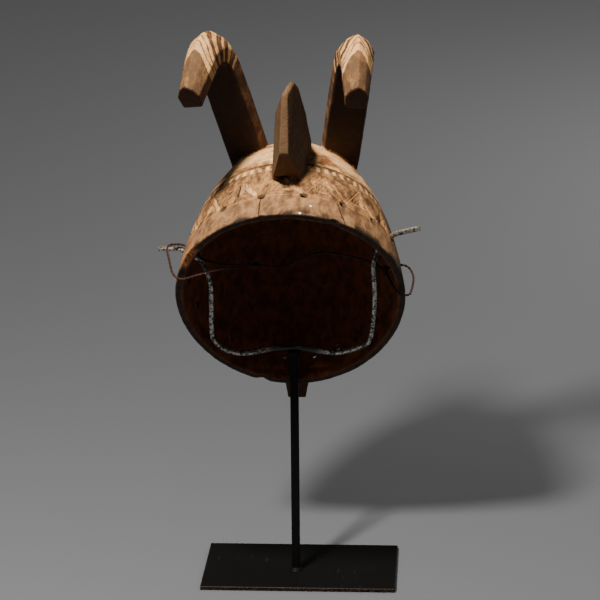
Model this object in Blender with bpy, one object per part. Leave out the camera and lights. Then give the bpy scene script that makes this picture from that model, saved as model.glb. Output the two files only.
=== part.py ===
# A carved wooden animal mask with two arched horns, a crest and a long muzzle,
# held on its black steel stand: base plate, square post and one bent cradle wire.
# Frame: origin under the middle of the base plate, +Z up, +Y the way the face looks.
import math

import bmesh
import bpy
from mathutils import Matrix, Vector

# The hollow dome of the mask, in metres
HALF_WIDTH = 0.0823
HALF_HEIGHT = 0.0904
DOME_DEPTH = 0.1435
BROW_SWELL = 0.053
SIDE_BULGE = 0.330
TOP_BULGE = 0.171
DOME_DROOP = -0.042
RIM_WALL = 0.0052
CROWN_WALL = 0.011
RIM_CHAMFER = 0.0008
DOME_POWER = 2.1

# Horns: a keeled section with a flat inner face, swept up a stem and over an arch
HORN_WIDTH = 0.0295
HORN_DEPTH = 0.0260
HORN_TIP_WIDTH = 0.0160
HORN_TIP_DEPTH = 0.0205
HORN_STEM = 0.0910
HORN_ARCH = 0.0265
HORN_TIP = 0.0370
# Each horn's foot in shares of the mask, then the ways its stem and its tip point
RIGHT_HORN = ((0.413, 0.344, 0.810), (0.140, 0.038, 1.156), (0.001, -1.001, -0.017))
LEFT_HORN = ((-0.352, 0.371, 0.783), (-0.263, 0.111, 1.110), (-0.168, -0.983, -0.070))

# Crest fin and muzzle, as shares of the dome
CREST_BACK_WIDTH = 0.0063
CREST_TOP_WIDTH = 0.0038
CREST_FOOT_WIDTH = 0.0220
CREST_THICK = 0.0270
CREST_CORNER = 1.250
CREST_RISE = 0.385
CREST_LEAN = 0.0033
MUZZLE_TIP_WIDTH = 0.0135
MUZZLE_ROOT_WIDTH = 0.0480
MUZZLE_TIP = -1.612

# Costume holes round the edge and the carved triangles between them
HOLE_DIAMETER = 0.0045
HOLE_ANGLES = (
    8.0, 25.6, 43.5, 62.4, 82.3, 102.8, 123.7, 140.6, 163.0, 181.0,
    198.0, 213.5, 229.0, 246.0, 264.0, 282.0, 297.0, 311.0, 329.0, 348.0,
)
WIRE_HOLE_ANGLES = (25.6, 163.0)
HOLE_LINE = 0.152
TRIANGLE_FOOT = 0.186
TRIANGLE_PEAK = 0.350
TRIANGLE_CUT = 0.0017
TRIANGLE_RISE = 0.0009
EYE_HOLE = 0.0110
EYE_DISC = 0.0260
EYE_SINK = 0.0016

# The stand
PLATE_WIDTH = 0.1450
PLATE_LENGTH = 0.0900
PLATE_THICK = 0.0030
POST_SIDE = 0.0060
POST_TOP = 0.1757
POST_PLACE = Vector((-0.0030, -0.0090))
WIRE_DIAMETER = 0.0040
WIRE_PLAY = 0.0018
WIRE_STEP = 0.0045
CORD_DIAMETER = 0.0019
CORD_PLAY = 0.0027
CORD_STEP = 0.0050
GAP = 0.0003

# How the mask sits: its opening's middle from where the wire crosses the post
MASK_TILT = math.radians(32.0)
MASK_TURN = math.radians(1.3)
MASK_OFFSET = Vector((0.0002, -0.0399, 0.0460))

DOME_SIDES = 64
DOME_RINGS = 13

# The bent wire, from its left end to its right end, as shares of the hollow's
# half width and half height and of the depth; the post carries it at the middle
WIRE_LEFT = (
    (-1.23, 0.30, 0.20),
    (-1.06, 0.30, 0.20),
    (-0.99, 0.29, 0.19),
    (-0.89, 0.23, 0.18),
    (-0.83, 0.20, 0.17),
    (-0.78, 0.12, 0.13),
    (-0.75, 0.00, 0.10),
    (-0.76, -0.40, 0.04),
    (-0.74, -0.55, 0.03),
    (-0.62, -0.68, 0.03),
    (-0.44, -0.73, 0.04),
    (-0.21, -0.71, 0.06),
)
WIRE_RIGHT = (
    (0.17, -0.72, 0.06),
    (0.43, -0.72, 0.04),
    (0.66, -0.61, 0.03),
    (0.74, -0.51, 0.03),
    (0.78, -0.16, 0.06),
    (0.78, 0.04, 0.10),
    (0.77, 0.17, 0.14),
    (0.79, 0.26, 0.17),
    (0.83, 0.34, 0.19),
    (0.90, 0.40, 0.20),
    (0.97, 0.46, 0.21),
    (1.20, 0.53, 0.21),
)

# The free cord: a loop round the left edge, a slack run across the opening, a knot
# and a loop round the right edge, as shares of the mask
CORD_LEFT_LOOP = (
    (-0.28, 0.42, 0.00),
    (-0.55, 0.42, -0.02),
    (-0.77, 0.37, -0.03),
    (-0.91, 0.32, -0.03),
    (-0.97, 0.32, -0.02),
    (-1.01, 0.33, 0.01),
    (-1.04, 0.37, 0.07),
    (-1.06, 0.39, 0.12),
    (-1.05, 0.37, 0.17),
)
CORD_ACROSS = (
    (-0.78, 0.33, 0.11),
    (-0.72, 0.35, 0.08),
    (-0.55, 0.38, 0.03),
    (-0.28, 0.40, 0.02),
    (-0.14, 0.37, 0.02),
    (-0.04, 0.36, 0.03),
    (0.12, 0.44, 0.04),
    (0.21, 0.47, 0.05),
    (0.32, 0.47, 0.06),
    (0.54, 0.34, 0.11),
    (0.67, 0.17, 0.18),
    (0.73, 0.13, 0.19),
    (0.78, 0.12, 0.17),
    (0.82, 0.15, 0.12),
    (0.86, 0.18, 0.06),
    (0.89, 0.18, 0.01),
    (0.94, 0.15, -0.02),
    (0.99, 0.12, -0.02),
    (1.04, 0.12, -0.01),
    (1.07, 0.09, 0.09),
    (1.06, 0.09, 0.15),
)
CORD_END = ((0.84, 0.14, 0.16), (0.82, 0.17, 0.14), (0.82, 0.18, 0.12))
CORD_LEFT_ANGLE = 160.3
CORD_RIGHT_ANGLE = 8.0
CORD_LEFT_SHIFT = 0.024


def clear_scene():
    for obj in list(bpy.data.objects):
        bpy.data.objects.remove(obj, do_unlink=True)


def make_collection(name):
    group = bpy.data.collections.new(name)
    bpy.context.scene.collection.children.link(group)
    return group


def make_material(name, colour, roughness, metallic=0.0):
    mat = bpy.data.materials.new(name)
    mat.use_nodes = True
    shader = mat.node_tree.nodes["Principled BSDF"]
    shader.inputs["Base Color"].default_value = (*colour, 1.0)
    shader.inputs["Roughness"].default_value = roughness
    shader.inputs["Metallic"].default_value = metallic
    mat.diffuse_color = (*colour, 1.0)
    return mat


def wire_height():
    return POST_TOP + GAP + WIRE_DIAMETER / 2.0


def mask_matrix():
    centre = Vector((*POST_PLACE, wire_height())) + MASK_OFFSET
    turn = Matrix.Rotation(MASK_TURN, 4, "Z") @ Matrix.Rotation(MASK_TILT, 4, "X")
    return Matrix.Translation(centre) @ turn


def place(u, v, w):
    # A point of the mask given as shares of its half width, half height and depth
    return Vector((u * HALF_WIDTH, w * DOME_DEPTH, v * HALF_HEIGHT))


def place_inside(u, v, w):
    # The same, in shares of the hollow
    return Vector((u * (HALF_WIDTH - RIM_WALL), w * DOME_DEPTH, v * (HALF_HEIGHT - RIM_WALL)))


def reach(share, bulge):
    # How much of its full spread the dome still has at this share of its depth
    far = (share + bulge) / (1.0 + bulge)
    near = bulge / (1.0 + bulge)
    left = (1.0 - far ** DOME_POWER) / (1.0 - near ** DOME_POWER)
    return max(left, 0.0) ** (1.0 / DOME_POWER)


def dome_point(angle, share, wall=0.0, crown=0.0):
    depth = DOME_DEPTH - crown
    v = (HALF_HEIGHT - wall) * reach(share, TOP_BULGE) * math.sin(angle)
    u = (HALF_WIDTH - wall) * reach(share, SIDE_BULGE) * math.cos(angle)
    u *= 1.0 + BROW_SWELL * math.sin(angle)
    return Vector((u, share * depth, v + DOME_DROOP * share * depth))


def dome_normal(angle, share):
    step = 0.004
    along = dome_point(angle + step, share) - dome_point(angle - step, share)
    out = dome_point(angle, share + step) - dome_point(angle, share - step)
    return out.cross(along).normalized()


def loft(bm, rings, pole=None):
    # Skins a run of equal rings; the far end closes on a pole or a flat face
    rows = []
    for ring in rings:
        rows.append([bm.verts.new(point) for point in ring])
    count = len(rows[0])
    for low, high in zip(rows, rows[1:]):
        for i in range(count):
            j = (i + 1) % count
            bm.faces.new((low[i], low[j], high[j], high[i]))
    bm.faces.new(list(reversed(rows[0])))
    if pole is None:
        bm.faces.new(rows[-1])
    else:
        tip = bm.verts.new(pole)
        for i in range(count):
            bm.faces.new((rows[-1][i], rows[-1][(i + 1) % count], tip))
    bmesh.ops.recalc_face_normals(bm, faces=bm.faces)


def mesh_object(name, bm, group):
    mesh = bpy.data.meshes.new(name)
    bm.to_mesh(mesh)
    bm.free()
    obj = bpy.data.objects.new(name, mesh)
    group.objects.link(obj)
    return obj


def hull_object(name, points, group):
    bm = bmesh.new()
    for point in points:
        bm.verts.new(point)
    found = bmesh.ops.convex_hull(bm, input=bm.verts)
    spare = found["geom_unused"] + found["geom_interior"]
    bmesh.ops.delete(bm, geom=[v for v in spare if isinstance(v, bmesh.types.BMVert)], context="VERTS")
    bmesh.ops.recalc_face_normals(bm, faces=bm.faces)
    return mesh_object(name, bm, group)


def drill(name, middle, direction, radius, length, group, sides=12):
    bm = bmesh.new()
    bmesh.ops.create_cone(
        bm, cap_ends=True, segments=sides, radius1=radius, radius2=radius, depth=length,
    )
    turn = direction.to_track_quat("Z", "Y").to_matrix().to_4x4()
    bmesh.ops.transform(bm, matrix=Matrix.Translation(middle) @ turn, verts=bm.verts)
    return mesh_object(name, bm, group)


def combine(target, other, operation):
    step = target.modifiers.new(operation.title(), "BOOLEAN")
    step.operation = operation
    step.solver = "EXACT"
    step.object = other
    graph = bpy.context.evaluated_depsgraph_get()
    done = bpy.data.meshes.new_from_object(target.evaluated_get(graph))
    target.modifiers.clear()
    target.data = done


def combine_all(target, others, operation):
    for other in others:
        combine(target, other, operation)


def dome_solid(name, group, wall=0.0, crown=0.0, start=0.0, chamfer=0.0):
    near = TOP_BULGE / (1.0 + TOP_BULGE)
    low = math.asin(near)
    shares = [start] if start < 0.0 else []
    for i in range(DOME_RINGS):
        swing = low + (math.pi / 2.0 - low) * i / DOME_RINGS
        shares.append(math.sin(swing) * (1.0 + TOP_BULGE) - TOP_BULGE)
    angles = [2.0 * math.pi * i / DOME_SIDES for i in range(DOME_SIDES)]
    rings = []
    if chamfer > 0.0:
        rings.append([dome_point(a, 0.0, wall + chamfer, crown) for a in angles])
        shares[0] = chamfer / DOME_DEPTH
    for share in shares:
        rings.append([dome_point(a, share, wall, crown) for a in angles])
    bm = bmesh.new()
    depth = DOME_DEPTH - crown
    loft(bm, rings, Vector((0.0, depth, DOME_DROOP * depth)))
    return mesh_object(name, bm, group)


def horn_section(width, depth):
    return (
        (-0.43 * width, -0.50 * depth),
        (0.43 * width, -0.50 * depth),
        (0.50 * width, 0.00 * depth),
        (0.30 * width, 0.31 * depth),
        (0.0, 0.50 * depth),
        (-0.30 * width, 0.31 * depth),
        (-0.50 * width, 0.00 * depth),
    )


def horn_rings(foot, stem_way, tip_way):
    # The path runs straight up the stem, turns in one plane and runs out to the tip
    stem_way = stem_way.normalized()
    tip_way = tip_way.normalized()
    side = stem_way.cross(tip_way).normalized()
    turn = stem_way.angle(tip_way)
    stations = []
    for share in (0.0, 0.35, 0.70, 1.0):
        stations.append((foot + stem_way * HORN_STEM * share, stem_way))
    top = foot + stem_way * HORN_STEM
    inward = side.cross(stem_way)
    hub = top + inward * HORN_ARCH
    steps = 9
    for i in range(1, steps + 1):
        spin = Matrix.Rotation(turn * i / steps, 3, side)
        stations.append((hub + spin @ (top - hub), spin @ stem_way))
    end = stations[-1][0]
    for share in (0.5, 1.0):
        stations.append((end + tip_way * HORN_TIP * share, tip_way))
    total = 0.0
    lengths = [0.0]
    for a, b in zip(stations, stations[1:]):
        total += (b[0] - a[0]).length
        lengths.append(total)
    rings = []
    for (middle, way), run in zip(stations, lengths):
        share = max(0.0, run / total - 0.45) / 0.55
        width = HORN_WIDTH + (HORN_TIP_WIDTH - HORN_WIDTH) * share ** 1.4
        depth = HORN_DEPTH + (HORN_TIP_DEPTH - HORN_DEPTH) * share ** 1.4
        out = way.cross(side).normalized()
        rings.append([middle + side * s + out * r for s, r in horn_section(width, depth)])
    return rings


def horn_solid(name, horn, group):
    foot, stem_way, tip_way = horn
    bm = bmesh.new()
    loft(bm, horn_rings(place(*foot), Vector(stem_way), Vector(tip_way)))
    return mesh_object(name, bm, group)


def crest_points():
    # The fin stands on the crown: a narrow strip at the back, an undercut foot,
    # sides that spread forward, and an edge that runs down to the forehead
    corner = CREST_CORNER
    top = CREST_CORNER + CREST_RISE
    outline = (
        (CREST_BACK_WIDTH, -0.0025, corner, 0.250),
        (CREST_FOOT_WIDTH, -0.0012, 0.870, 0.290),
        (CREST_TOP_WIDTH, -0.0015, top - 0.008, 0.418),
        (CREST_TOP_WIDTH * 0.80, CREST_LEAN, top, 0.500),
        (CREST_TOP_WIDTH * 2.20, CREST_LEAN - 0.0005, top - 0.140, 0.560),
        (CREST_THICK * 0.80, 0.0005, top - 0.480, 0.600),
        (CREST_THICK, 0.0010, 0.790, 0.640),
        (CREST_THICK, 0.0010, 0.550, 0.600),
        (CREST_THICK * 0.35, 0.0020, 0.600, 0.860),
        (CREST_THICK * 0.60, 0.0010, 0.300, 0.800),
    )
    points = []
    for width, shift, v, w in outline:
        spot = place(0.0, v, w)
        for side in (-1.0, 1.0):
            points.append(spot + Vector((shift + side * width / 2.0, 0.0, 0.0)))
    return points


def muzzle_points():
    tip_v = MUZZLE_TIP * HALF_HEIGHT
    points = []
    for side in (-1.0, 1.0):
        half = MUZZLE_TIP_WIDTH / 2.0
        root = MUZZLE_ROOT_WIDTH / 2.0
        points.append(Vector((side * half, 0.235 * DOME_DEPTH, tip_v)))
        points.append(Vector((side * half * 0.75, 0.375 * DOME_DEPTH, tip_v + 0.002)))
        points.append(Vector((side * half * 1.36, 0.285 * DOME_DEPTH, tip_v + 0.012)))
        points.append(Vector((side * root * 0.62, 0.480 * DOME_DEPTH, -0.800 * HALF_HEIGHT)))
        points.append(Vector((side * root, 0.780 * DOME_DEPTH, -0.300 * HALF_HEIGHT)))
        points.append(Vector((side * root * 0.30, 0.960 * DOME_DEPTH, -0.200 * HALF_HEIGHT)))
        points.append(Vector((side * root * 0.22, 0.955 * DOME_DEPTH, 0.060 * HALF_HEIGHT)))
        points.append(Vector((side * root * 0.45, 0.800 * DOME_DEPTH, 0.330 * HALF_HEIGHT)))
    return points


def triangle_cutter(name, left, right, group):
    middle = (left + right) / 2.0
    corners = [
        dome_point(left, TRIANGLE_FOOT),
        dome_point(right, TRIANGLE_FOOT),
        dome_point(middle, TRIANGLE_PEAK),
    ]
    out = (corners[1] - corners[0]).cross(corners[2] - corners[0]).normalized()
    if out.dot(dome_normal(middle, TRIANGLE_FOOT)) < 0.0:
        out.negate()
    heart = (corners[0] + corners[1] + corners[2]) / 3.0
    # The cutter's corners stand clear of the skin, further than its facets sag
    points = [heart - out * TRIANGLE_CUT]
    for corner in corners:
        points.append(corner + out * TRIANGLE_RISE)
        points.append(corner + out * (TRIANGLE_RISE + 0.004) + (corner - heart) * 0.15)
    return hull_object(name, points, group)


def hole_share(angle):
    # The hole line wanders a little with the hand of the carver
    return HOLE_LINE + 0.022 * math.cos(angle) ** 2 + 0.004 * math.sin(angle * 5.0)


def costume_hole(name, angle, group):
    share = hole_share(angle)
    return drill(
        name, dome_point(angle, share), dome_normal(angle, share),
        HOLE_DIAMETER / 2.0, RIM_WALL * 5.0, group,
    )


def eye_cutters(group):
    cutters = []
    for side in (-1.0, 1.0):
        middle = place(side * 0.470, 0.130, 0.830)
        way = Vector((side * 0.38, 1.0, 0.08)).normalized()
        cutters.append(drill("eye_hole", middle, way, EYE_HOLE / 2.0, 0.060, group, 16))
        surface = place(side * 0.470, 0.130, 0.800)
        for share in range(120):
            probe = surface + way * 0.0005 * share
            depth = probe.y / DOME_DEPTH
            if depth >= 0.999:
                break
            u = probe.x / (HALF_WIDTH * reach(depth, SIDE_BULGE))
            v = (probe.z - DOME_DROOP * probe.y) / (HALF_HEIGHT * reach(depth, TOP_BULGE))
            if u * u + v * v >= 1.0:
                surface = probe
                break
        floor = surface + way * (0.010 - EYE_SINK)
        cutters.append(drill("eye_disc", floor, way, EYE_DISC / 2.0, 0.020, group, 20))
    return cutters


def mouth_cutters(group):
    tip_v = MUZZLE_TIP * HALF_HEIGHT
    bm = bmesh.new()
    bmesh.ops.create_cube(bm, size=1.0)
    size = Matrix.Diagonal((0.0300, 0.0022, 0.0200, 1.0))
    middle = Matrix.Translation(Vector((0.0, 0.300 * DOME_DEPTH, tip_v)))
    bmesh.ops.transform(bm, matrix=middle @ Matrix.Rotation(-0.5, 4, "X") @ size, verts=bm.verts)
    return [mesh_object("mouth_slit", bm, group)]


def wire_route():
    turn = mask_matrix()
    left = [turn @ place_inside(*p) for p in WIRE_LEFT]
    right = [turn @ place_inside(*p) for p in WIRE_RIGHT]
    x, y = POST_PLACE
    span = POST_SIDE * 0.9
    middle = [Vector((x - span, y, wire_height())), Vector((x + span, y, wire_height()))]
    return left + middle + right


def smooth_route(points, pieces):
    # Passes a soft curve through every point of the route
    route = []
    for i in range(len(points) - 1):
        a = points[max(i - 1, 0)]
        b = points[i]
        c = points[i + 1]
        d = points[min(i + 2, len(points) - 1)]
        for k in range(pieces):
            t = k / pieces
            route.append(
                0.5 * (
                    2.0 * b + (c - a) * t
                    + (2.0 * a - 5.0 * b + 4.0 * c - d) * t * t
                    + (3.0 * b - a - 3.0 * c + d) * t * t * t
                )
            )
    route.append(points[-1].copy())
    return route


def even_route(points, step):
    # The same curve with its points an even step apart
    fine = smooth_route(points, 12)
    total = sum((b - a).length for a, b in zip(fine, fine[1:]))
    count = max(2, round(total / step))
    stride = total / count
    route = [fine[0].copy()]
    run = 0.0
    for a, b in zip(fine, fine[1:]):
        piece = (b - a).length
        while len(route) < count and run + piece >= stride * len(route):
            route.append(a.lerp(b, (stride * len(route) - run) / piece))
        run += piece
    route.append(fine[-1].copy())
    return route


def through_wall(angle, share, inward):
    # Three points of the cord that follow the middle of a hole through the wall
    out = dome_normal(angle, share)
    skin = dome_point(angle, share)
    spots = [skin + out * 0.0035, skin - out * RIM_WALL / 2.0, skin - out * (RIM_WALL + 0.0035)]
    if not inward:
        spots.reverse()
    return spots


def cord_route():
    left = math.radians(CORD_LEFT_ANGLE)
    right = math.radians(CORD_RIGHT_ANGLE)
    spots = [place(*p) for p in CORD_LEFT_LOOP]
    spots += through_wall(left, hole_share(left) + CORD_LEFT_SHIFT, True)
    spots += [place(*p) for p in CORD_ACROSS]
    spots += through_wall(right, hole_share(right), True)
    spots += [place(*p) for p in CORD_END]
    turn = mask_matrix()
    return [turn @ spot for spot in spots]


def tube(name, route, diameter, group):
    curve = bpy.data.curves.new(name, "CURVE")
    curve.dimensions = "3D"
    spline = curve.splines.new("POLY")
    spline.points.add(len(route) - 1)
    for point, spot in zip(spline.points, route):
        point.co = (*spot, 1.0)
    curve.bevel_depth = diameter / 2.0
    curve.bevel_resolution = 2
    curve.use_fill_caps = True
    holder = bpy.data.objects.new(name + "_line", curve)
    group.objects.link(holder)
    graph = bpy.context.evaluated_depsgraph_get()
    mesh = bpy.data.meshes.new_from_object(holder.evaluated_get(graph))
    bpy.data.objects.remove(holder, do_unlink=True)
    bm = bmesh.new()
    bm.from_mesh(mesh)
    bmesh.ops.remove_doubles(bm, verts=bm.verts, dist=0.00001)
    bmesh.ops.recalc_face_normals(bm, faces=bm.faces)
    return mesh_object(name, bm, group)


def wire_hole_cutters(group):
    # Bores that follow the wire where it goes through the wall of the mask
    cutters = []
    radius = (WIRE_DIAMETER + WIRE_PLAY) / 2.0
    for a, b in ((WIRE_LEFT[2], WIRE_LEFT[3]), (WIRE_RIGHT[-3], WIRE_RIGHT[-2])):
        start = place_inside(*a)
        end = place_inside(*b)
        way = (end - start).normalized()
        cutters.append(
            drill("wire_hole", (start + end) / 2.0, way, radius, RIM_WALL * 5.0, group, 16)
        )
    return cutters


def cord_hole_cutter(group):
    # The cord shares the left wire hole, so its own hole opens into that one
    angle = math.radians(CORD_LEFT_ANGLE)
    share = hole_share(angle) + CORD_LEFT_SHIFT
    return drill(
        "cord_hole", dome_point(angle, share), dome_normal(angle, share),
        (CORD_DIAMETER + CORD_PLAY) / 2.0, RIM_WALL * 5.0, group,
    )


def build_mask(group, cutters):
    mask = dome_solid("mask", group, chamfer=RIM_CHAMFER)
    adds = [
        horn_solid("horn_right", RIGHT_HORN, cutters),
        horn_solid("horn_left", LEFT_HORN, cutters),
        hull_object("crest", crest_points(), cutters),
        hull_object("muzzle", muzzle_points(), cutters),
    ]
    combine_all(mask, adds, "UNION")
    hollow = dome_solid("hollow", cutters, RIM_WALL, CROWN_WALL, start=-0.060)
    cuts = [hollow]
    angles = [math.radians(a) for a in HOLE_ANGLES]
    for degrees in HOLE_ANGLES:
        if degrees not in WIRE_HOLE_ANGLES:
            cuts.append(costume_hole("costume_hole", math.radians(degrees), cutters))
    cuts += wire_hole_cutters(cutters)
    cuts.append(cord_hole_cutter(cutters))
    margin = math.radians(1.7)
    for i, angle in enumerate(angles):
        following = angles[(i + 1) % len(angles)]
        if following < angle:
            following += 2.0 * math.pi
        cuts.append(triangle_cutter("triangle", angle + margin, following - margin, cutters))
    cuts += eye_cutters(cutters)
    cuts += mouth_cutters(cutters)
    combine_all(mask, cuts, "DIFFERENCE")
    mask.data.transform(mask_matrix())
    for part in adds + cuts:
        part.data.transform(mask_matrix())
    return mask


def build_plate(group):
    bm = bmesh.new()
    bmesh.ops.create_cube(bm, size=1.0)
    size = Matrix.Diagonal((PLATE_WIDTH, PLATE_LENGTH, PLATE_THICK, 1.0))
    shift = Matrix.Translation(Vector((0.0, 0.0, PLATE_THICK / 2.0)))
    bmesh.ops.transform(bm, matrix=shift @ size, verts=bm.verts)
    bmesh.ops.bevel(
        bm, geom=bm.edges[:], offset=0.0004, segments=1, affect="EDGES",
    )
    return mesh_object("base_plate", bm, group)


def build_post(group, cutters):
    x, y = POST_PLACE
    foot = PLATE_THICK + GAP
    top = POST_TOP
    bm = bmesh.new()
    bmesh.ops.create_cube(bm, size=1.0)
    size = Matrix.Diagonal((POST_SIDE, POST_SIDE, top - foot, 1.0))
    shift = Matrix.Translation(Vector((x, y, (top + foot) / 2.0)))
    bmesh.ops.transform(bm, matrix=shift @ size, verts=bm.verts)
    upright = [e for e in bm.edges if abs(e.verts[0].co.z - e.verts[1].co.z) > 0.01]
    bmesh.ops.bevel(bm, geom=upright, offset=0.0005, segments=2, affect="EDGES")
    post = mesh_object("post", bm, group)
    # Weld beads: a low collar at the foot and a lump round the top
    bm = bmesh.new()
    bmesh.ops.create_cone(
        bm, cap_ends=True, segments=16, radius1=POST_SIDE * 0.92, radius2=POST_SIDE * 0.62,
        depth=0.0026,
    )
    bmesh.ops.translate(bm, vec=Vector((x, y, foot + 0.0013)), verts=bm.verts)
    bead = mesh_object("foot_bead", bm, cutters)
    bm = bmesh.new()
    bmesh.ops.create_cone(
        bm, cap_ends=True, segments=16, radius1=POST_SIDE * 0.58, radius2=POST_SIDE * 0.80,
        depth=0.0040,
    )
    bmesh.ops.translate(bm, vec=Vector((x, y, top - 0.0020)), verts=bm.verts)
    lump = mesh_object("top_bead", bm, cutters)
    combine_all(post, [bead, lump], "UNION")
    return post


def build_wire(group):
    return tube("cradle_wire", even_route(wire_route(), WIRE_STEP), WIRE_DIAMETER, group)


def build_cord(group):
    return tube("cord", even_route(cord_route(), CORD_STEP), CORD_DIAMETER, group)


def finish_shading(obj, angle):
    for face in obj.data.polygons:
        face.use_smooth = True
    obj.data.set_sharp_from_angle(angle=math.radians(angle))


def main():
    clear_scene()
    group = make_collection("mossi_mask")
    cutters = make_collection("cutters")
    mask = build_mask(group, cutters)
    plate = build_plate(group)
    post = build_post(group, cutters)
    wire = build_wire(group)
    cord = build_cord(group)
    wood = make_material("carved_wood", (0.22, 0.125, 0.065), 0.75)
    black = make_material("black_steel", (0.018, 0.018, 0.018), 0.45, 0.6)
    bare = make_material("worn_wire", (0.55, 0.54, 0.52), 0.38, 0.9)
    fibre = make_material("dark_cord", (0.085, 0.028, 0.020), 0.8)
    looks = ((mask, wood), (plate, black), (post, black), (wire, bare), (cord, fibre))
    for obj, mat in looks:
        obj.data.materials.clear()
        obj.data.materials.append(mat)
    finish_shading(mask, 32)
    finish_shading(plate, 30)
    finish_shading(post, 30)
    finish_shading(wire, 60)
    finish_shading(cord, 60)
    for helper in cutters.objects:
        helper.hide_render = True
        helper.display_type = "WIRE"


main()
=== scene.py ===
# A carved horned mask on its black steel stand, seen from behind.
# The camera and the cord come first, then the wood, the wire and the stand.
import math

import bmesh
import bpy
import numpy as np
from mathutils import Matrix, Vector


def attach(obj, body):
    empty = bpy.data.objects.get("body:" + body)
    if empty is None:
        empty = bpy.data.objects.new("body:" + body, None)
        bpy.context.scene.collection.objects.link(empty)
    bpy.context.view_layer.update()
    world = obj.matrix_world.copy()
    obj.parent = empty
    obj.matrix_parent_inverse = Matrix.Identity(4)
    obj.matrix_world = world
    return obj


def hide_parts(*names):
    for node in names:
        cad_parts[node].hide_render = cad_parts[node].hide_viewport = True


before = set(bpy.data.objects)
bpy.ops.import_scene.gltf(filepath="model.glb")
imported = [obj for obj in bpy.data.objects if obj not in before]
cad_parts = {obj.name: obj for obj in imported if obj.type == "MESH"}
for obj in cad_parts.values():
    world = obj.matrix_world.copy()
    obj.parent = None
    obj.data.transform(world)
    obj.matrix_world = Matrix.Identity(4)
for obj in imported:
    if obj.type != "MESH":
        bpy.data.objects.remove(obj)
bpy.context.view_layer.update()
print("frame loaded:", sorted(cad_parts))


def addObject(name, data):
    piece = bpy.data.objects.new(name, data)
    bpy.context.scene.collection.objects.link(piece)
    return piece


def put(tree, kind, inputs=None, **settings):
    # One shader node: a socket is wired in, anything else is typed into the field
    node = tree.nodes.new(kind)
    for key, value in settings.items():
        setattr(node, key, value)
    for key, value in (inputs or {}).items():
        if isinstance(value, bpy.types.NodeSocket):
            tree.links.new(value, node.inputs[key])
        else:
            node.inputs[key].default_value = value
    return node


def calc(tree, operation, a, b=0.0, c=0.0):
    return put(tree, "ShaderNodeMath", {0: a, 1: b, 2: c}, operation=operation).outputs[0]


def times(tree, a, b):
    return calc(tree, "MULTIPLY", a, b)


def plus(tree, a, b):
    return calc(tree, "ADD", a, b)


def minus(tree, a, b):
    return calc(tree, "SUBTRACT", a, b)


def most(tree, a, b):
    return calc(tree, "MAXIMUM", a, b)


def fade(tree, value, low, high):
    # 0 at low and 1 at high, soft between; low may be the larger of the two
    node = put(tree, "ShaderNodeMapRange", {0: value, 1: low, 2: high},
               interpolation_type="SMOOTHSTEP")
    return node.outputs[0]


def band(tree, value, low, high, soft):
    up = fade(tree, value, low - soft, low + soft)
    down = fade(tree, value, high + soft, high - soft)
    return times(tree, up, down)


def speckle(tree, place, size, detail=4.0, rough=0.55, warp=0.0):
    # size is how wide one patch is, in metres
    node = put(tree, "ShaderNodeTexNoise", {
        "Vector": place, "Scale": 1.0 / size, "Detail": detail, "Roughness": rough,
        "Distortion": warp,
    })
    return node.outputs[0]


def stretch(tree, place, x, y, z):
    node = put(tree, "ShaderNodeVectorMath", {0: place, 1: (x, y, z)}, operation="MULTIPLY")
    return node.outputs[0]


def tint(tree, amount, under, over):
    node = put(tree, "ShaderNodeMix", data_type="RGBA")
    for index, value in ((0, amount), (6, under), (7, over)):
        if isinstance(value, bpy.types.NodeSocket):
            tree.links.new(value, node.inputs[index])
        else:
            node.inputs[index].default_value = value
    return node.outputs[2]


def colour(red, green, blue):
    return (red, green, blue, 1.0)


def reading(tree, name):
    return put(tree, "ShaderNodeAttribute", attribute_name=name).outputs["Fac"]


def readingPlace(tree, name):
    return put(tree, "ShaderNodeAttribute", attribute_name=name).outputs["Vector"]


def newFinish(name):
    finish = bpy.data.materials.new(name)
    finish.use_nodes = True
    return finish, finish.node_tree, finish.node_tree.nodes["Principled BSDF"]


def relief(tree, shader, height, depth, strength=1.0):
    node = put(tree, "ShaderNodeBump", {"Height": height, "Distance": depth, "Strength": strength})
    tree.links.new(node.outputs[0], shader.inputs["Normal"])


def wearFinish(piece, *finishes):
    piece.data.materials.clear()
    for finish in finishes:
        piece.data.materials.append(finish)


cameraSetup = {
    "lens": 153.0,
    "sensor": 36.0,
    "place": (0.1103, -1.8054, 0.7170),
    "down": 15.6,      # degrees below level
    "left": 3.46,      # degrees to the left of straight on
    "roll": 0.5,
}


def makeCamera():
    down = math.radians(cameraSetup["down"])
    left = math.radians(cameraSetup["left"])
    roll = math.radians(cameraSetup["roll"])
    level = Vector((-math.sin(left), math.cos(left), 0.0))
    side = Vector((math.cos(left), math.sin(left), 0.0))
    ahead = level * math.cos(down) - Vector((0.0, 0.0, math.sin(down)))
    above = level * math.sin(down) + Vector((0.0, 0.0, math.cos(down)))
    right = side * math.cos(roll) - above * math.sin(roll)
    top = side * math.sin(roll) + above * math.cos(roll)
    lens = bpy.data.cameras.new("viewCamera")
    lens.lens = cameraSetup["lens"]
    lens.sensor_width = cameraSetup["sensor"]
    lens.clip_end = 30.0
    camera = addObject("viewCamera", lens)
    turn = Matrix((right, top, -ahead)).transposed().to_4x4()
    camera.matrix_world = Matrix.Translation(cameraSetup["place"]) @ turn
    bpy.context.scene.camera = camera


makeCamera()
print("camera ready")

# The same sizes as the solid mask, for placing the cord, the paint and the carving
maskShape = {
    "halfWidth": 0.0823,
    "halfHeight": 0.0904,
    "depth": 0.1435,
    "browSwell": 0.053,
    "sideBulge": 0.330,
    "topBulge": 0.171,
    "droop": -0.042,
    "power": 2.1,
    "rimWall": 0.0052,
    "crownWall": 0.011,
    "centre": (-0.0028, -0.0489, 0.2240),
    "tilt": 32.0,
    "turn": 1.3,
}


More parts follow.
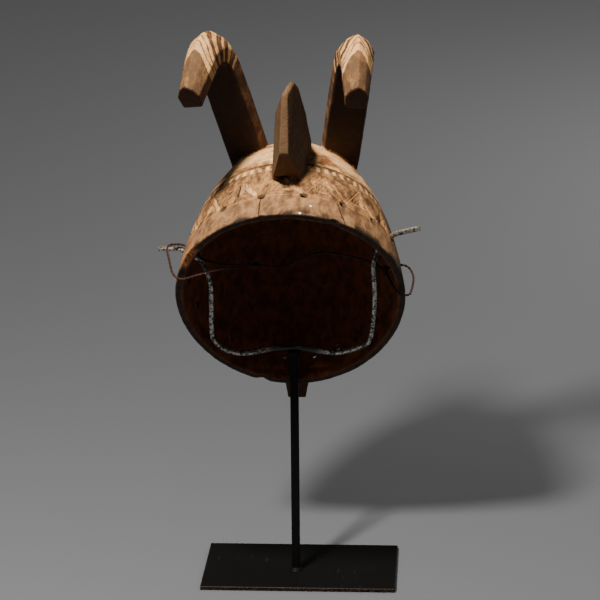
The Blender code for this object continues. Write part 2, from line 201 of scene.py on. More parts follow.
def maskTurn():
    turn = Matrix.Rotation(math.radians(maskShape["turn"]), 4, "Z")
    tilt = Matrix.Rotation(math.radians(maskShape["tilt"]), 4, "X")
    return Matrix.Translation(maskShape["centre"]) @ turn @ tilt


def reachAt(share, bulge):
    power = maskShape["power"]
    far = np.clip((share + bulge) / (1.0 + bulge), 0.0, 1.0)
    near = bulge / (1.0 + bulge)
    left = (1.0 - far ** power) / (1.0 - near ** power)
    return np.maximum(left, 0.0) ** (1.0 / power)


def skinPoint(angle, share, wall=0.0):
    tall = (maskShape["halfHeight"] - wall) * reachAt(share, maskShape["topBulge"])
    broad = (maskShape["halfWidth"] - wall) * reachAt(share, maskShape["sideBulge"])
    high = tall * math.sin(angle)
    wide = broad * math.cos(angle)
    wide *= 1.0 + maskShape["browSwell"] * math.sin(angle)
    deep = share * maskShape["depth"]
    return Vector((wide, deep, high + maskShape["droop"] * deep))


def skinNormal(angle, share):
    step = 0.004
    along = skinPoint(angle + step, share) - skinPoint(angle - step, share)
    out = skinPoint(angle, share + step) - skinPoint(angle, share - step)
    return out.cross(along).normalized()


def onMask(u, v, w):
    wide, high = maskShape["halfWidth"], maskShape["halfHeight"]
    return Vector((u * wide, w * maskShape["depth"], v * high))


cordSetup = {
    "diameter": 0.0019,
    "step": 0.0050,
    "twist": 0.0062,         # one full turn of the two plies
    "leftHole": 160.3,       # degrees round the edge
    "rightHole": 8.0,
    "leftShift": 0.024,
    "leftLoop": (
        (-0.28, 0.42, 0.00), (-0.55, 0.42, -0.02), (-0.77, 0.37, -0.03),
        (-0.91, 0.32, -0.03), (-0.97, 0.32, -0.02), (-1.01, 0.33, 0.01),
        (-1.04, 0.37, 0.07), (-1.06, 0.39, 0.12), (-1.05, 0.37, 0.17),
    ),
    "across": (
        (-0.78, 0.33, 0.11), (-0.72, 0.35, 0.08), (-0.55, 0.38, 0.03),
        (-0.28, 0.40, 0.02), (-0.14, 0.37, 0.02), (-0.04, 0.36, 0.03),
        (0.12, 0.44, 0.04), (0.21, 0.47, 0.05), (0.32, 0.47, 0.06),
        (0.54, 0.34, 0.11), (0.67, 0.17, 0.18), (0.73, 0.13, 0.19),
        (0.78, 0.12, 0.17), (0.82, 0.15, 0.12), (0.86, 0.18, 0.06),
        (0.89, 0.18, 0.01), (0.94, 0.15, -0.02), (0.99, 0.12, -0.02),
        (1.04, 0.12, -0.01), (1.07, 0.09, 0.09), (1.06, 0.09, 0.15),
    ),
    "end": ((0.84, 0.14, 0.16), (0.82, 0.17, 0.14), (0.82, 0.18, 0.12)),
    "knotTurns": 3.0,        # turns of cord in each knot
    "knotLength": 0.0042,
    "holeClear": 0.0035,     # how far it runs straight on either side of a hole
    "plyRadius": 0.30,       # shares of the diameter
    "plyOffset": 0.20,
    "dark": colour(0.018, 0.005, 0.003),
    "pale": colour(0.038, 0.010, 0.006),
    "fibre": colour(0.065, 0.021, 0.013),
}
# The row of holes: its share of the depth, and how far it wanders round the edge
holeRow = {"share": 0.152, "sides": 0.022, "ripple": 0.004}


def holeShare(angle):
    sides = holeRow["sides"] * math.cos(angle) ** 2
    return holeRow["share"] + sides + holeRow["ripple"] * math.sin(angle * 5.0)


def throughHole(angle, share):
    out = skinNormal(angle, share)
    skin = skinPoint(angle, share)
    wall = maskShape["rimWall"]
    clear = cordSetup["holeClear"]
    return [skin + out * clear, skin - out * wall / 2.0, skin - out * (wall + clear)]


def softLine(points, pieces):
    line = []
    for i in range(len(points) - 1):
        a = points[max(i - 1, 0)]
        b = points[i]
        c = points[i + 1]
        d = points[min(i + 2, len(points) - 1)]
        for k in range(pieces):
            t = k / pieces
            bend = (2.0 * a - 5.0 * b + 4.0 * c - d) * t * t
            line.append(0.5 * (2.0 * b + (c - a) * t + bend + (3.0 * b - a - 3.0 * c + d) * t ** 3))
    line.append(points[-1].copy())
    return line


def evenLine(points, step):
    fine = softLine(points, 12)
    total = sum((b - a).length for a, b in zip(fine, fine[1:]))
    count = max(2, round(total / step))
    stride = total / count
    line = [fine[0].copy()]
    run = 0.0
    for a, b in zip(fine, fine[1:]):
        piece = (b - a).length
        while len(line) < count and run + piece >= stride * len(line):
            line.append(a.lerp(b, (stride * len(line) - run) / piece))
        run += piece
    line.append(fine[-1].copy())
    return line


def cordLine():
    left = math.radians(cordSetup["leftHole"])
    right = math.radians(cordSetup["rightHole"])
    spots = [onMask(*p) for p in cordSetup["leftLoop"]]
    spots += throughHole(left, holeShare(left) + cordSetup["leftShift"])
    spots += [onMask(*p) for p in cordSetup["across"]]
    spots += throughHole(right, holeShare(right))
    spots += [onMask(*p) for p in cordSetup["end"]]
    turn = maskTurn()
    return evenLine([turn @ spot for spot in spots], cordSetup["step"])


def lineFrames(line):
    # A steady frame carried along the line, so the plies don't flip over
    frames = []
    side = None
    for i, spot in enumerate(line):
        way = (line[min(i + 1, len(line) - 1)] - line[max(i - 1, 0)]).normalized()
        if side is None:
            side = way.orthogonal().normalized()
        side = (side - way * side.dot(way)).normalized()
        frames.append((spot, way, side, way.cross(side)))
    return frames


def plyTube(bm, line, radius, offset, turnLength, start, sides=6):
    # One ply wound round the line
    frames = lineFrames(line)
    run = 0.0
    rings = []
    for i, (spot, way, side, up) in enumerate(frames):
        if i:
            run += (spot - frames[i - 1][0]).length
        swing = start + 2.0 * math.pi * run / turnLength
        middle = spot + (side * math.cos(swing) + up * math.sin(swing)) * offset
        ring = []
        for k in range(sides):
            a = 2.0 * math.pi * k / sides
            ring.append(bm.verts.new(middle + (side * math.cos(a) + up * math.sin(a)) * radius))
        rings.append(ring)
    for low, high in zip(rings, rings[1:]):
        for k in range(sides):
            m = (k + 1) % sides
            bm.faces.new((low[k], low[m], high[m], high[k]))
    bm.faces.new(list(reversed(rings[0])))
    bm.faces.new(rings[-1])


def makeCordFinish():
    finish, tree, shader = newFinish("darkTwistedCord")
    place = put(tree, "ShaderNodeTexCoord").outputs["Object"]
    dirt = speckle(tree, place, 0.006, 5.0)
    fibre = speckle(tree, place, 0.0006, 3.0)
    base = tint(tree, fade(tree, dirt, 0.35, 0.65), cordSetup["dark"], cordSetup["pale"])
    base = tint(tree, fade(tree, fibre, 0.5, 0.8), base, cordSetup["fibre"])
    tree.links.new(base, shader.inputs["Base Color"])
    shader.inputs["Roughness"].default_value = 0.85
    relief(tree, shader, fibre, 0.0002)
    return finish


def meshPiece(name, bm):
    bmesh.ops.recalc_face_normals(bm, faces=bm.faces)
    mesh = bpy.data.meshes.new(name)
    bm.to_mesh(mesh)
    bm.free()
    mesh.shade_smooth()
    return addObject(name, mesh)


def makeKnot(name, route, endSpot, finish):
    # Tight turns of the same cord round its end and the strand beside it
    here = route.index(endSpot)
    others = [p for i, p in enumerate(route) if (p - endSpot).length < 0.006 and abs(i - here) > 3]
    beside = min(others, key=lambda p: (p - endSpot).length)
    place = route.index(beside)
    way = (route[place + 1] - route[place - 1]).normalized()
    beside = beside + way * (endSpot - beside).dot(way)
    middle = (endSpot + beside) / 2.0
    across = (endSpot - beside).normalized()
    up = way.cross(across).normalized()
    thick = cordSetup["diameter"]
    wide = (endSpot - beside).length / 2.0 + thick * 0.78
    flat = thick * 0.86
    bm = bmesh.new()
    steps = int(cordSetup["knotTurns"] * 28)
    line = []
    for i in range(steps + 1):
        t = i / steps
        swing = 2.0 * math.pi * cordSetup["knotTurns"] * t
        swell = 0.74 + 0.26 * math.sin(math.pi * t)
        along = (t - 0.5) * cordSetup["knotLength"]
        turned = across * math.cos(swing) * wide + up * math.sin(swing) * flat
        line.append(middle + way * along + turned * swell)
    radius = thick * cordSetup["plyRadius"]
    offset = thick * cordSetup["plyOffset"]
    for start in (0.0, math.pi):
        plyTube(bm, line, radius, offset, cordSetup["twist"] * 0.6, start)
    # The knot's heart, which hides the cut ends inside the turns
    heart = bmesh.ops.create_icosphere(bm, subdivisions=3, radius=1.0)["verts"]
    for vert in heart:
        x, y, z = vert.co
        lump = 1.0 + 0.05 * math.sin(9.0 * x + 2.0) * math.sin(7.0 * y)
        long = way * z * cordSetup["knotLength"] * 0.60
        vert.co = middle + (across * x * wide * 0.86 + up * y * flat * 0.98 + long) * lump
    knot = meshPiece(name, bm)
    wearFinish(knot, finish)
    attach(knot, "root")
    return knot


def makeCord():
    route = cordLine()
    fine = evenLine(route, 0.0008)
    bm = bmesh.new()
    radius = cordSetup["diameter"] * cordSetup["plyRadius"]
    offset = cordSetup["diameter"] * cordSetup["plyOffset"]
    for start in (0.0, math.pi):
        plyTube(bm, fine, radius, offset, cordSetup["twist"], start)
    cord = meshPiece("tyingCord", bm)
    finish = makeCordFinish()
    wearFinish(cord, finish)
    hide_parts("cord")
    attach(cord, "root")
    leftKnot = makeKnot("cordKnotLeft", route, route[0], finish)
    rightKnot = makeKnot("cordKnotRight", route, route[-1], finish)
    return cord


makeCord()
print("cord ready")

# Both horns: the foot in shares of the mask, then the ways the stem and the tip point
hornShape = {
    "stem": 0.0910,
    "arch": 0.0265,
    "tip": 0.0370,
    "right": ((0.413, 0.344, 0.810), (0.140, 0.038, 1.156), (0.001, -1.001, -0.017)),
    "left": ((-0.352, 0.371, 0.783), (-0.263, 0.111, 1.110), (-0.168, -0.983, -0.070)),
}


def hornLine(which):
    # The middle line of a horn from foot to tip, in the mask's own frame
    foot, stemWay, tipWay = (Vector(p) for p in hornShape[which])
    foot = onMask(*foot)
    stemWay.normalize()
    tipWay.normalize()
    side = stemWay.cross(tipWay).normalized()
    turn = stemWay.angle(tipWay)
    top = foot + stemWay * hornShape["stem"]
    hub = top + side.cross(stemWay) * hornShape["arch"]
    line = [(foot + stemWay * hornShape["stem"] * i / 30, stemWay) for i in range(30)]
    for i in range(41):
        spin = Matrix.Rotation(turn * i / 40, 3, side)
        line.append((hub + spin @ (top - hub), spin @ stemWay))
    end = line[-1][0]
    for i in range(1, 21):
        line.append((end + tipWay * hornShape["tip"] * i / 20, tipWay))
    return line, side


def hornReadings(spots, which):
    # For each point: how far it is from the tip along the horn, across it, and out from it
    line, side = hornLine(which)
    middles = np.array([list(p) for p, way in line])
    outs = np.array([list(way.cross(side).normalized()) for p, way in line])
    steps = np.linalg.norm(np.diff(middles, axis=0), axis=1)
    run = np.concatenate(([0.0], np.cumsum(steps)))
    run = run[-1] - run
    nearest = np.zeros(len(spots), int)
    for low in range(0, len(spots), 8000):
        gap = np.linalg.norm(spots[low:low + 8000, None, :] - middles[None], axis=2)
        nearest[low:low + 8000] = gap.argmin(1)
    away = spots - middles[nearest]
    across = away @ np.array(side)
    outward = (away * outs[nearest]).sum(1)
    return run[nearest], across, outward, np.linalg.norm(away, axis=1)


def domeGap(spots, wall=0.0, crown=0.0):
    # How far each point stands outside the dome's smooth skin, in metres
    def level(p):
        share = p[:, 1] / (maskShape["depth"] - crown)
        spreadU = np.maximum(reachAt(share, maskShape["sideBulge"]), 0.04)
        spreadV = np.maximum(reachAt(share, maskShape["topBulge"]), 0.04)
        high = p[:, 2] - maskShape["droop"] * p[:, 1]
        high = high / ((maskShape["halfHeight"] - wall) * spreadV)
        wide = p[:, 0] / ((maskShape["halfWidth"] - wall) * spreadU)
        lift = high / np.maximum(np.hypot(high, wide), 1e-6)
        wide = wide / (1.0 + maskShape["browSwell"] * lift)
        return np.hypot(high, wide) - 1.0
    here = level(spots)
    slope = np.zeros_like(spots)
    for axis in range(3):
        moved = spots.copy()
        moved[:, axis] += 0.0002
        slope[:, axis] = (level(moved) - here) / 0.0002
    steep = np.maximum(np.linalg.norm(slope, axis=1), 4.0)
    return here / steep, slope / np.maximum(np.linalg.norm(slope, axis=1), 1e-6)[:, None]


def easeStep(value, low, high):
    t = np.clip((value - low) / (high - low), 0.0, 1.0)
    return t * t * (3.0 - 2.0 * t)


def waves(spots, size, seed):
    # Soft unevenness of a hand-cut surface, from a few crossed waves
    pick = np.random.default_rng(seed)
    total = np.zeros(len(spots))
    for i in range(7):
        way = pick.normal(size=3)
        way /= np.linalg.norm(way)
        length = size * pick.uniform(0.7, 1.5)
        total += np.sin(spots @ way * 2.0 * math.pi / length + pick.uniform(0, 6.28))
    return total / 7.0


woodWork = {
    "longestEdge": 0.0028,  # faces are split until no edge is longer
    "toolMarks": 0.00032,   # height of the knife marks
    "softEdge": 0.35,       # how far sharp edges are rubbed down
    "sharpFrom": 38.0,      # degrees
    # notches in the edge: degrees round, how wide, how deep
    "notches": ((68.0, 0.0030, 0.0022), (255.0, 0.0034, 0.0026), (101.5, 0.0016, 0.0012)),
    "chip": (146.5, 0.0095, 0.0022),
    "holes": (
        8.0, 25.6, 43.5, 62.4, 82.3, 102.8, 123.7, 140.6, 163.0, 181.0,
        198.0, 213.5, 229.0, 246.0, 264.0, 282.0, 297.0, 311.0, 329.0, 348.0,
    ),
    "triangleFoot": 0.172,
    "trianglePeak": 0.345,
}


def splitFaces(source):
    # The solid's own faces, split finely, so its holes and cuts stay crisp
    bm = bmesh.new()
    bm.from_mesh(source)
    bmesh.ops.remove_doubles(bm, verts=bm.verts[:], dist=0.00001)
    bmesh.ops.triangulate(bm, faces=[face for face in bm.faces if len(face.verts) > 3])

    def longest(face):
        return max(face.edges, key=lambda edge: edge.calc_length())

    for turn in range(60):
        picked = {}
        for face in bm.faces:
            edge = longest(face)
            if edge.calc_length() > woodWork["longestEdge"]:
                picked[edge] = True
        # an edge is halved only where it is the longest of both its faces
        ready = [edge for edge in picked if all(longest(face) is edge for face in edge.link_faces)]
        if not ready:
            break
        for edge in ready:
            faces = list(edge.link_faces)
            tips = [[vert for vert in face.verts if vert not in edge.verts][0] for face in faces]
            half = bmesh.utils.edge_split(edge, edge.verts[0], 0.5)[1]
            for face, tip in zip(faces, tips):
                bmesh.utils.face_split(face, half, tip)
    sharp = math.radians(woodWork["sharpFrom"])
    moves = {}
    for edge in bm.edges:
        if edge.is_manifold and edge.calc_face_angle_signed() > sharp:
            for vert in edge.verts:
                near = [link.other_vert(vert).co for link in vert.link_edges]
                moves[vert] = (sum(near, Vector()) / len(near) - vert.co) * woodWork["softEdge"]
    for vert, move in moves.items():
        vert.co += move
    mesh = bpy.data.meshes.new("carvedMask")
    bm.to_mesh(mesh)
    bm.free()
    return mesh


def holeSpots():
    spots = []
    for degrees in woodWork["holes"]:
        angle = math.radians(degrees)
        spots.append(list(skinPoint(angle, holeShare(angle))))
    return np.array(spots)


def carveMask():
    mesh = splitFaces(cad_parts["mask"].data)
    count = len(mesh.vertices)
    world = np.zeros(count * 3)
    mesh.vertices.foreach_get("co", world)
    world = world.reshape(-1, 3)
    normals = np.zeros(count * 3)
    mesh.vertex_normals.foreach_get("vector", normals)
    normals = normals.reshape(-1, 3)
    turn = np.array(maskTurn())
    back = np.linalg.inv(turn)
    local = world @ back[:3, :3].T + back[:3, 3]
    localNormals = normals @ back[:3, :3].T

    outGap, outWay = domeGap(local)
    inGap, inWay = domeGap(local, maskShape["rimWall"], maskShape["crownWall"])
    share = local[:, 1] / maskShape["depth"]
    angle = np.arctan2(local[:, 2] - maskShape["droop"] * local[:, 1], local[:, 0])
    right = hornReadings(local, "right")
    left = hornReadings(local, "left")
    isLeft = left[3] < right[3]
    hornRun, hornSide, hornOut, hornAway = (np.where(isLeft, a, b) for a, b in zip(left, right))
    proud = easeStep(outGap, 0.0003, 0.0010)
    horn = proud * (hornAway < 0.021)
    crest = proud * (1 - horn) * (np.abs(local[:, 0]) < 0.020) * (local[:, 2] > 0.0)
    muzzle = proud * (1 - horn) * (local[:, 2] <= 0.0)
    hollow = easeStep(-inGap, -0.0007, -0.0002) * easeStep(-outGap, 0.0015, 0.0030)
    rim = easeStep(0.0008 - local[:, 1], 0.0, 0.0007) * (1 - horn - crest)

    # The split faces are drawn out to the smooth dome, outside and in
    facesOut = easeStep((localNormals * outWay).sum(1), 0.60, 0.85)
    facesIn = easeStep(-(localNormals * inWay).sum(1), 0.60, 0.85)
    flat = (1.0 - easeStep(np.abs(outGap), 0.0003, 0.0006)) * facesOut * (1 - proud)
    local -= outWay * (outGap * flat)[:, None]
    flatIn = (1.0 - easeStep(np.abs(inGap), 0.0005, 0.0009)) * facesIn
    local -= inWay * (inGap * flatIn)[:, None]

    marks = waves(local, 0.013, 3) * 0.6 + waves(local, 0.0055, 8) * 0.4
    lift = marks * woodWork["toolMarks"]
    lift *= np.where(hollow > 0.5, 1.9, 1.0)
    degrees = np.degrees(angle)
    edge = maskShape["halfWidth"]
    for turnAt, wide, deep in woodWork["notches"]:
        swing = (degrees - turnAt + 180.0) % 360.0 - 180.0
        away = np.abs(np.radians(swing) * edge) / wide
        fall = np.exp(-away ** 2) * np.exp(-(np.maximum(local[:, 1], 0.0) / 0.0025) ** 2)
        local[:, 1] += fall * deep * (share < 0.05)
    turnAt, wide, deep = woodWork["chip"]
    swing = (degrees - turnAt + 180.0) % 360.0 - 180.0
    away = np.abs(np.radians(swing) * edge) / wide
    chip = np.exp(-away ** 4) * (share < 0.05) * (1 - hollow)
    local[:, 1] += chip * deep * np.exp(-np.maximum(local[:, 1], 0.0) / 0.003)
    local += localNormals * lift[:, None]

    world = local @ turn[:3, :3].T + turn[:3, 3]
    mesh.vertices.foreach_set("co", world.ravel())
    sides = holeRow["sides"] * np.cos(angle) ** 2
    line = share - (holeRow["share"] + sides + holeRow["ripple"] * np.sin(angle * 5.0))
    # Where each point is between the two nearest holes: 0 at the left one, 1 at the right
    around = degrees % 360.0
    holes = woodWork["holes"]
    ends = np.array((holes[-1] - 360.0,) + holes + (holes[0] + 360.0,))
    slot = np.clip(np.searchsorted(ends, around) - 1, 0, len(ends) - 2)
    between = (ends[slot + 1] - around) / (ends[slot + 1] - ends[slot])
    degrees = np.where(degrees < -90.0, degrees + 360.0, degrees)
    holeAway = np.full(count, 1.0)
    spots = holeSpots()
    for low in range(0, count, 8000):
        gap = np.linalg.norm(local[low:low + 8000, None, :] - spots[None], axis=2)
        holeAway[low:low + 8000] = gap.min(1)
    # The crest's back strip looks back at the viewer, and its foot is undercut below it
    faceBack = easeStep(-localNormals[:, 1], 0.30, 0.60)
    # The undercut is picked by facing down; the dark colour it gets below is painted shade
    under = crest * easeStep(-localNormals[:, 2], 0.02, 0.25)
    under = under * easeStep(-localNormals[:, 1], 0.2, 0.5)
    # What the paint reads at each point; the lengths are in mm
    readings = {
        "share": share, "degrees": degrees, "holeLine": line,
        "cutDepth": np.maximum(-outGap, 0.0) * 1000.0,
        "horn": horn, "hornRun": hornRun * 1000.0, "hornSide": hornSide * 1000.0,
        "hornOut": hornOut * 1000.0, "crest": crest, "muzzle": muzzle,
        "hollow": hollow, "rim": rim, "chip": chip, "between": between,
        "halfBetween": np.abs(between - 0.5) * 2.0, "holeAway": holeAway * 1000.0,
        "strip": crest * faceBack * (1.0 - under), "under": under,
    }
    for name, values in readings.items():
        layer = mesh.attributes.new(name, "FLOAT", "POINT")
        layer.data.foreach_set("value", values.astype(np.float32))
    place = mesh.attributes.new("maskPlace", "FLOAT_VECTOR", "POINT")
    place.data.foreach_set("vector", local.astype(np.float32).ravel())
    mesh.shade_smooth()
    mesh.update()
    mesh.set_sharp_from_angle(angle=math.radians(woodWork["sharpFrom"]))
    print("mask surface:", count, "points,", len(mesh.polygons), "faces")
    return addObject("carvedMask", mesh)


woodColours = {
    "marginPale": colour(0.380, 0.215, 0.105),
    "marginDark": colour(0.120, 0.064, 0.032),
    # near-black: real stains, and also painted shade in the holes, the deepest cuts and on the rim
    "stainAndShade": colour(0.016, 0.009, 0.006),
    "bandPale": colour(0.450, 0.245, 0.105),
    "bandDark": colour(0.100, 0.048, 0.021),
    "cutPale": colour(0.800, 0.520, 0.260),
    "cream": colour(0.840, 0.530, 0.260),
    "creamPatch": colour(0.280, 0.120, 0.045),
    "line": colour(0.600, 0.280, 0.090),
    "hornPale": colour(0.740, 0.450, 0.205),
    "hornMid": colour(0.300, 0.155, 0.066),
    "hornDark": colour(0.070, 0.032, 0.014),
    "hornTip": colour(0.115, 0.066, 0.034),
    # painted shade: near-black for the horns' inner faces under their arches and for the cut tip
    # ends
    "hornInnerShade": colour(0.016, 0.006, 0.003),
    "hornInnerShadePale": colour(0.045, 0.018, 0.007),
    "crest": colour(0.085, 0.048, 0.024),
    "crestPale": colour(0.170, 0.100, 0.052),
    "crestStrip": colour(0.140, 0.082, 0.041),
    # dark red-brown, deepened as painted shade for the crest's downward-facing undercut
    "under": colour(0.070, 0.020, 0.008),
    "muzzle": colour(0.055, 0.016, 0.008),
    "hollowPale": colour(0.290, 0.090, 0.026),
    "hollowDark": colour(0.095, 0.032, 0.012),
    # the rim's cut edge, coloured dark as painted shade
    "rim": colour(0.060, 0.032, 0.018),
    "fresh": colour(0.560, 0.220, 0.066),
    "whitePaint": colour(0.800, 0.800, 0.780),
}
woodPattern = {
    # dark bands on the horns, in mm from the tip along the keel
    "hornBands": (
        (41.5, 42.8), (46.8, 48.2), (52.5, 58.0), (63.5, 71.0),
        (75.0, 82.0), (87.0, 96.0), (100.0, 240.0),
    ),
    "hornSlope": 2.1,        # how steeply the bands run down each side
    # how widely the bands turn over the keel: in square mm, and about its root
    "hornRound": (20.0, 4.5),
    "plainTip": 36.0,
    # cracks: degrees round at the edge, lean, first and last share of the depth
    "cracks": ((102.6, 0.0, -0.01, 0.150), (63.4, 22.0, -0.01, 0.152), (118.0, -14.0, 0.16, 0.30)),
    "whiteSpots": ((79.0, 0.075, 0.0011), (84.0, 0.012, 0.0013)),
    "toothStep": 4.3,        # degrees from tooth to tooth
}


def makeWoodFinish():
    paint = woodColours
    finish, tree, shader = newFinish("oldPaintedWood")
    place = readingPlace(tree, "maskPlace")
    share = reading(tree, "share")
    degrees = reading(tree, "degrees")
    broad = speckle(tree, place, 0.024, 8.0, 0.62, 0.4)
    patch = speckle(tree, stretch(tree, place, 1.0, 0.55, 1.0), 0.0065, 9.0, 0.72, 0.3)
    fine = speckle(tree, place, 0.0014, 6.0, 0.7)
    grain = speckle(tree, stretch(tree, place, 1.0, 0.13, 1.0), 0.0019, 7.0, 0.68)
    # Flakes and scrapes across the grain, where the old paint has gone
    scrape = speckle(tree, stretch(tree, place, 0.30, 1.0, 0.6), 0.0040, 8.0, 0.75, 0.8)
    wander = times(tree, minus(tree, patch, 0.5), 0.030)
    loose = plus(tree, share, wander)

    margin = tint(tree, fade(tree, patch, 0.34, 0.66), paint["marginDark"], paint["marginPale"])
    nearEdge = fade(tree, loose, 0.075, 0.0)
    stains = times(tree, nearEdge, fade(tree, broad, 0.44, 0.58))
    margin = tint(tree, stains, margin, paint["stainAndShade"])
    margin = tint(tree, times(tree, fade(tree, scrape, 0.60, 0.68), 0.55), margin, paint["stainAndShade"])

    triangles = tint(tree, fade(tree, patch, 0.40, 0.62), paint["bandDark"], paint["bandPale"])
    rubbed = times(tree, fade(tree, scrape, 0.56, 0.64), 0.75)
    triangles = tint(tree, rubbed, triangles, paint["stainAndShade"])
    # Between each two holes a tall carved triangle: thin legs, and one pale side facet
    span = woodWork["trianglePeak"] - woodWork["triangleFoot"]
    rise = calc(tree, "DIVIDE", minus(tree, share, woodWork["triangleFoot"]), span)
    leg = minus(tree, minus(tree, 1.0, reading(tree, "halfBetween")), rise)
    leg = plus(tree, leg, times(tree, minus(tree, patch, 0.5), 0.10))
    inBand = band(tree, rise, 0.0, 1.02, 0.03)
    legLine = times(tree, band(tree, leg, -0.03, 0.03, 0.03), inBand)
    innerLine = times(tree, band(tree, leg, 0.36, 0.40, 0.03), inBand)
    cutLines = most(tree, legLine, times(tree, innerLine, 0.7))
    cutLines = times(tree, cutLines, fade(tree, grain, 0.30, 0.50))
    rightSide = fade(tree, reading(tree, "between"), 0.50, 0.54)
    facet = times(tree, times(tree, band(tree, leg, 0.07, 0.30, 0.03), inBand), rightSide)
    facet = times(tree, facet, fade(tree, grain, 0.36, 0.52))
    facet = times(tree, facet, fade(tree, broad, 0.42, 0.52))
    cut = band(tree, reading(tree, "cutDepth"), 0.3, 1.8, 0.2)
    cut = times(tree, cut, fade(tree, grain, 0.46, 0.58))
    triangles = tint(tree, times(tree, cut, 0.40), triangles, paint["cutPale"])
    triangles = tint(tree, times(tree, facet, 0.9), triangles, paint["cutPale"])
    triangles = tint(tree, times(tree, cutLines, 0.8), triangles, paint["line"])

    cream = tint(tree, fade(tree, broad, 0.41, 0.53), paint["creamPatch"], paint["cream"])
    cream = tint(tree, times(tree, fade(tree, scrape, 0.52, 0.62), 0.8), cream, paint["creamPatch"])
    cream = tint(tree, times(tree, fade(tree, grain, 0.54, 0.66), 0.6), cream, paint["bandDark"])

    skin = tint(tree, fade(tree, loose, 0.155, 0.180), margin, triangles)
    skin = tint(tree, fade(tree, loose, 0.440, 0.475), skin, cream)
    tooth = calc(tree, "FRACT", calc(tree, "DIVIDE", degrees, woodPattern["toothStep"]))
    teeth = times(tree, band(tree, tooth, 0.28, 0.74, 0.09), band(tree, share, 0.392, 0.432, 0.008))
    skin = tint(tree, times(tree, teeth, fade(tree, patch, 0.34, 0.52)), skin, paint["cutPale"])
    darkLine = band(tree, share, 0.447, 0.458, 0.006)
    skin = tint(tree, times(tree, darkLine, 0.8), skin, paint["stainAndShade"])
    holeLine = band(tree, reading(tree, "holeLine"), -0.006, 0.002, 0.004)
    skin = tint(tree, times(tree, holeLine, fade(tree, patch, 0.34, 0.55)), skin, paint["line"])
    cracks = 0.0
    for turnAt, lean, low, high in woodPattern["cracks"]:
        off = minus(tree, degrees, times(tree, share, lean))
        off = plus(tree, off, times(tree, minus(tree, patch, 0.5), 3.0))
        thin = band(tree, minus(tree, off, turnAt), -0.20, 0.20, 0.22)
        cracks = most(tree, cracks, times(tree, thin, band(tree, share, low, high, 0.006)))
    skin = tint(tree, cracks, skin, paint["stainAndShade"])
    for turnAt, deep, wide in woodPattern["whiteSpots"]:
        spot = skinPoint(math.radians(turnAt), deep)
        away = put(tree, "ShaderNodeVectorMath", {0: place, 1: spot}, operation="DISTANCE")
        away = away.outputs[1]
        away = plus(tree, away, times(tree, minus(tree, fine, 0.5), 0.0012))
        skin = tint(tree, fade(tree, away, wide, wide * 0.6), skin, paint["whitePaint"])
    # Painted shade: the hole walls, a thin ring round each hole and the deepest cuts are darkened
    # nearly to black
    holeShade = fade(tree, reading(tree, "holeAway"), 3.7, 2.4)
    deepCutShade = fade(tree, reading(tree, "cutDepth"), 2.0, 2.7)
    skin = tint(tree, most(tree, times(tree, holeShade, 0.8), deepCutShade), skin, paint["stainAndShade"])

    # The painted bands nest round the keel, and run down each side towards the tip
    run = reading(tree, "hornRun")
    side = reading(tree, "hornSide")
    roundness, root = woodPattern["hornRound"]
    across = calc(tree, "SQRT", plus(tree, times(tree, side, side), roundness))
    across = minus(tree, across, root)
    slant = plus(tree, run, times(tree, across, woodPattern["hornSlope"]))
    slant = plus(tree, slant, times(tree, minus(tree, broad, 0.5), 9.0))
    slant = plus(tree, slant, times(tree, minus(tree, patch, 0.5), 3.0))
    dark = 0.0
    for low, high in woodPattern["hornBands"]:
        dark = most(tree, dark, band(tree, slant, low, high, 0.7))
    hairLine = calc(tree, "SINE", times(tree, slant, 4.2))
    hairLine = times(tree, fade(tree, hairLine, 0.45, 0.90), fade(tree, broad, 0.40, 0.56))
    pale = tint(tree, fade(tree, patch, 0.30, 0.50), paint["hornMid"], paint["hornPale"])
    darkBand = tint(tree, fade(tree, patch, 0.44, 0.66), paint["hornDark"], paint["hornMid"])
    stripes = tint(tree, dark, pale, darkBand)
    stripes = tint(tree, times(tree, hairLine, 0.6), stripes, paint["hornDark"])
    hornTip = tint(tree, fade(tree, patch, 0.46, 0.74), paint["hornTip"], paint["hornMid"])
    tipEnd = woodPattern["plainTip"]
    hornSkin = tint(tree, fade(tree, slant, tipEnd - 0.8, tipEnd + 0.8), hornTip, stripes)
    # Painted shade: the inner faces, under each horn's own arch, are coloured near-black
    innerShade = tint(tree, fade(tree, patch, 0.45, 0.68), paint["hornInnerShade"], paint["hornInnerShadePale"])
    hornSkin = tint(tree, fade(tree, reading(tree, "hornOut"), -9.0, -11.5), hornSkin, innerShade)
    # Painted shade: the cut end of each tip is coloured dark
    endFaceShade = tint(tree, fade(tree, patch, 0.44, 0.66), paint["hornInnerShadePale"], paint["hornDark"])
    hornSkin = tint(tree, fade(tree, run, 1.4, 0.5), hornSkin, endFaceShade)
    skin = tint(tree, reading(tree, "horn"), skin, hornSkin)

    crest = tint(tree, fade(tree, grain, 0.38, 0.68), paint["crest"], paint["crestPale"])
    strip = tint(tree, fade(tree, patch, 0.36, 0.58), paint["crestPale"], paint["crestStrip"])
    crest = tint(tree, reading(tree, "strip"), crest, strip)
    # Painted shade: the downward-facing undercut is coloured dark red-brown
    under = tint(tree, fade(tree, grain, 0.42, 0.62), paint["under"], paint["crest"])
    crest = tint(tree, reading(tree, "under"), crest, under)
    skin = tint(tree, reading(tree, "crest"), skin, crest)
    muzzle = tint(tree, fade(tree, patch, 0.38, 0.66), paint["muzzle"], paint["bandDark"])
    skin = tint(tree, reading(tree, "muzzle"), skin, muzzle)
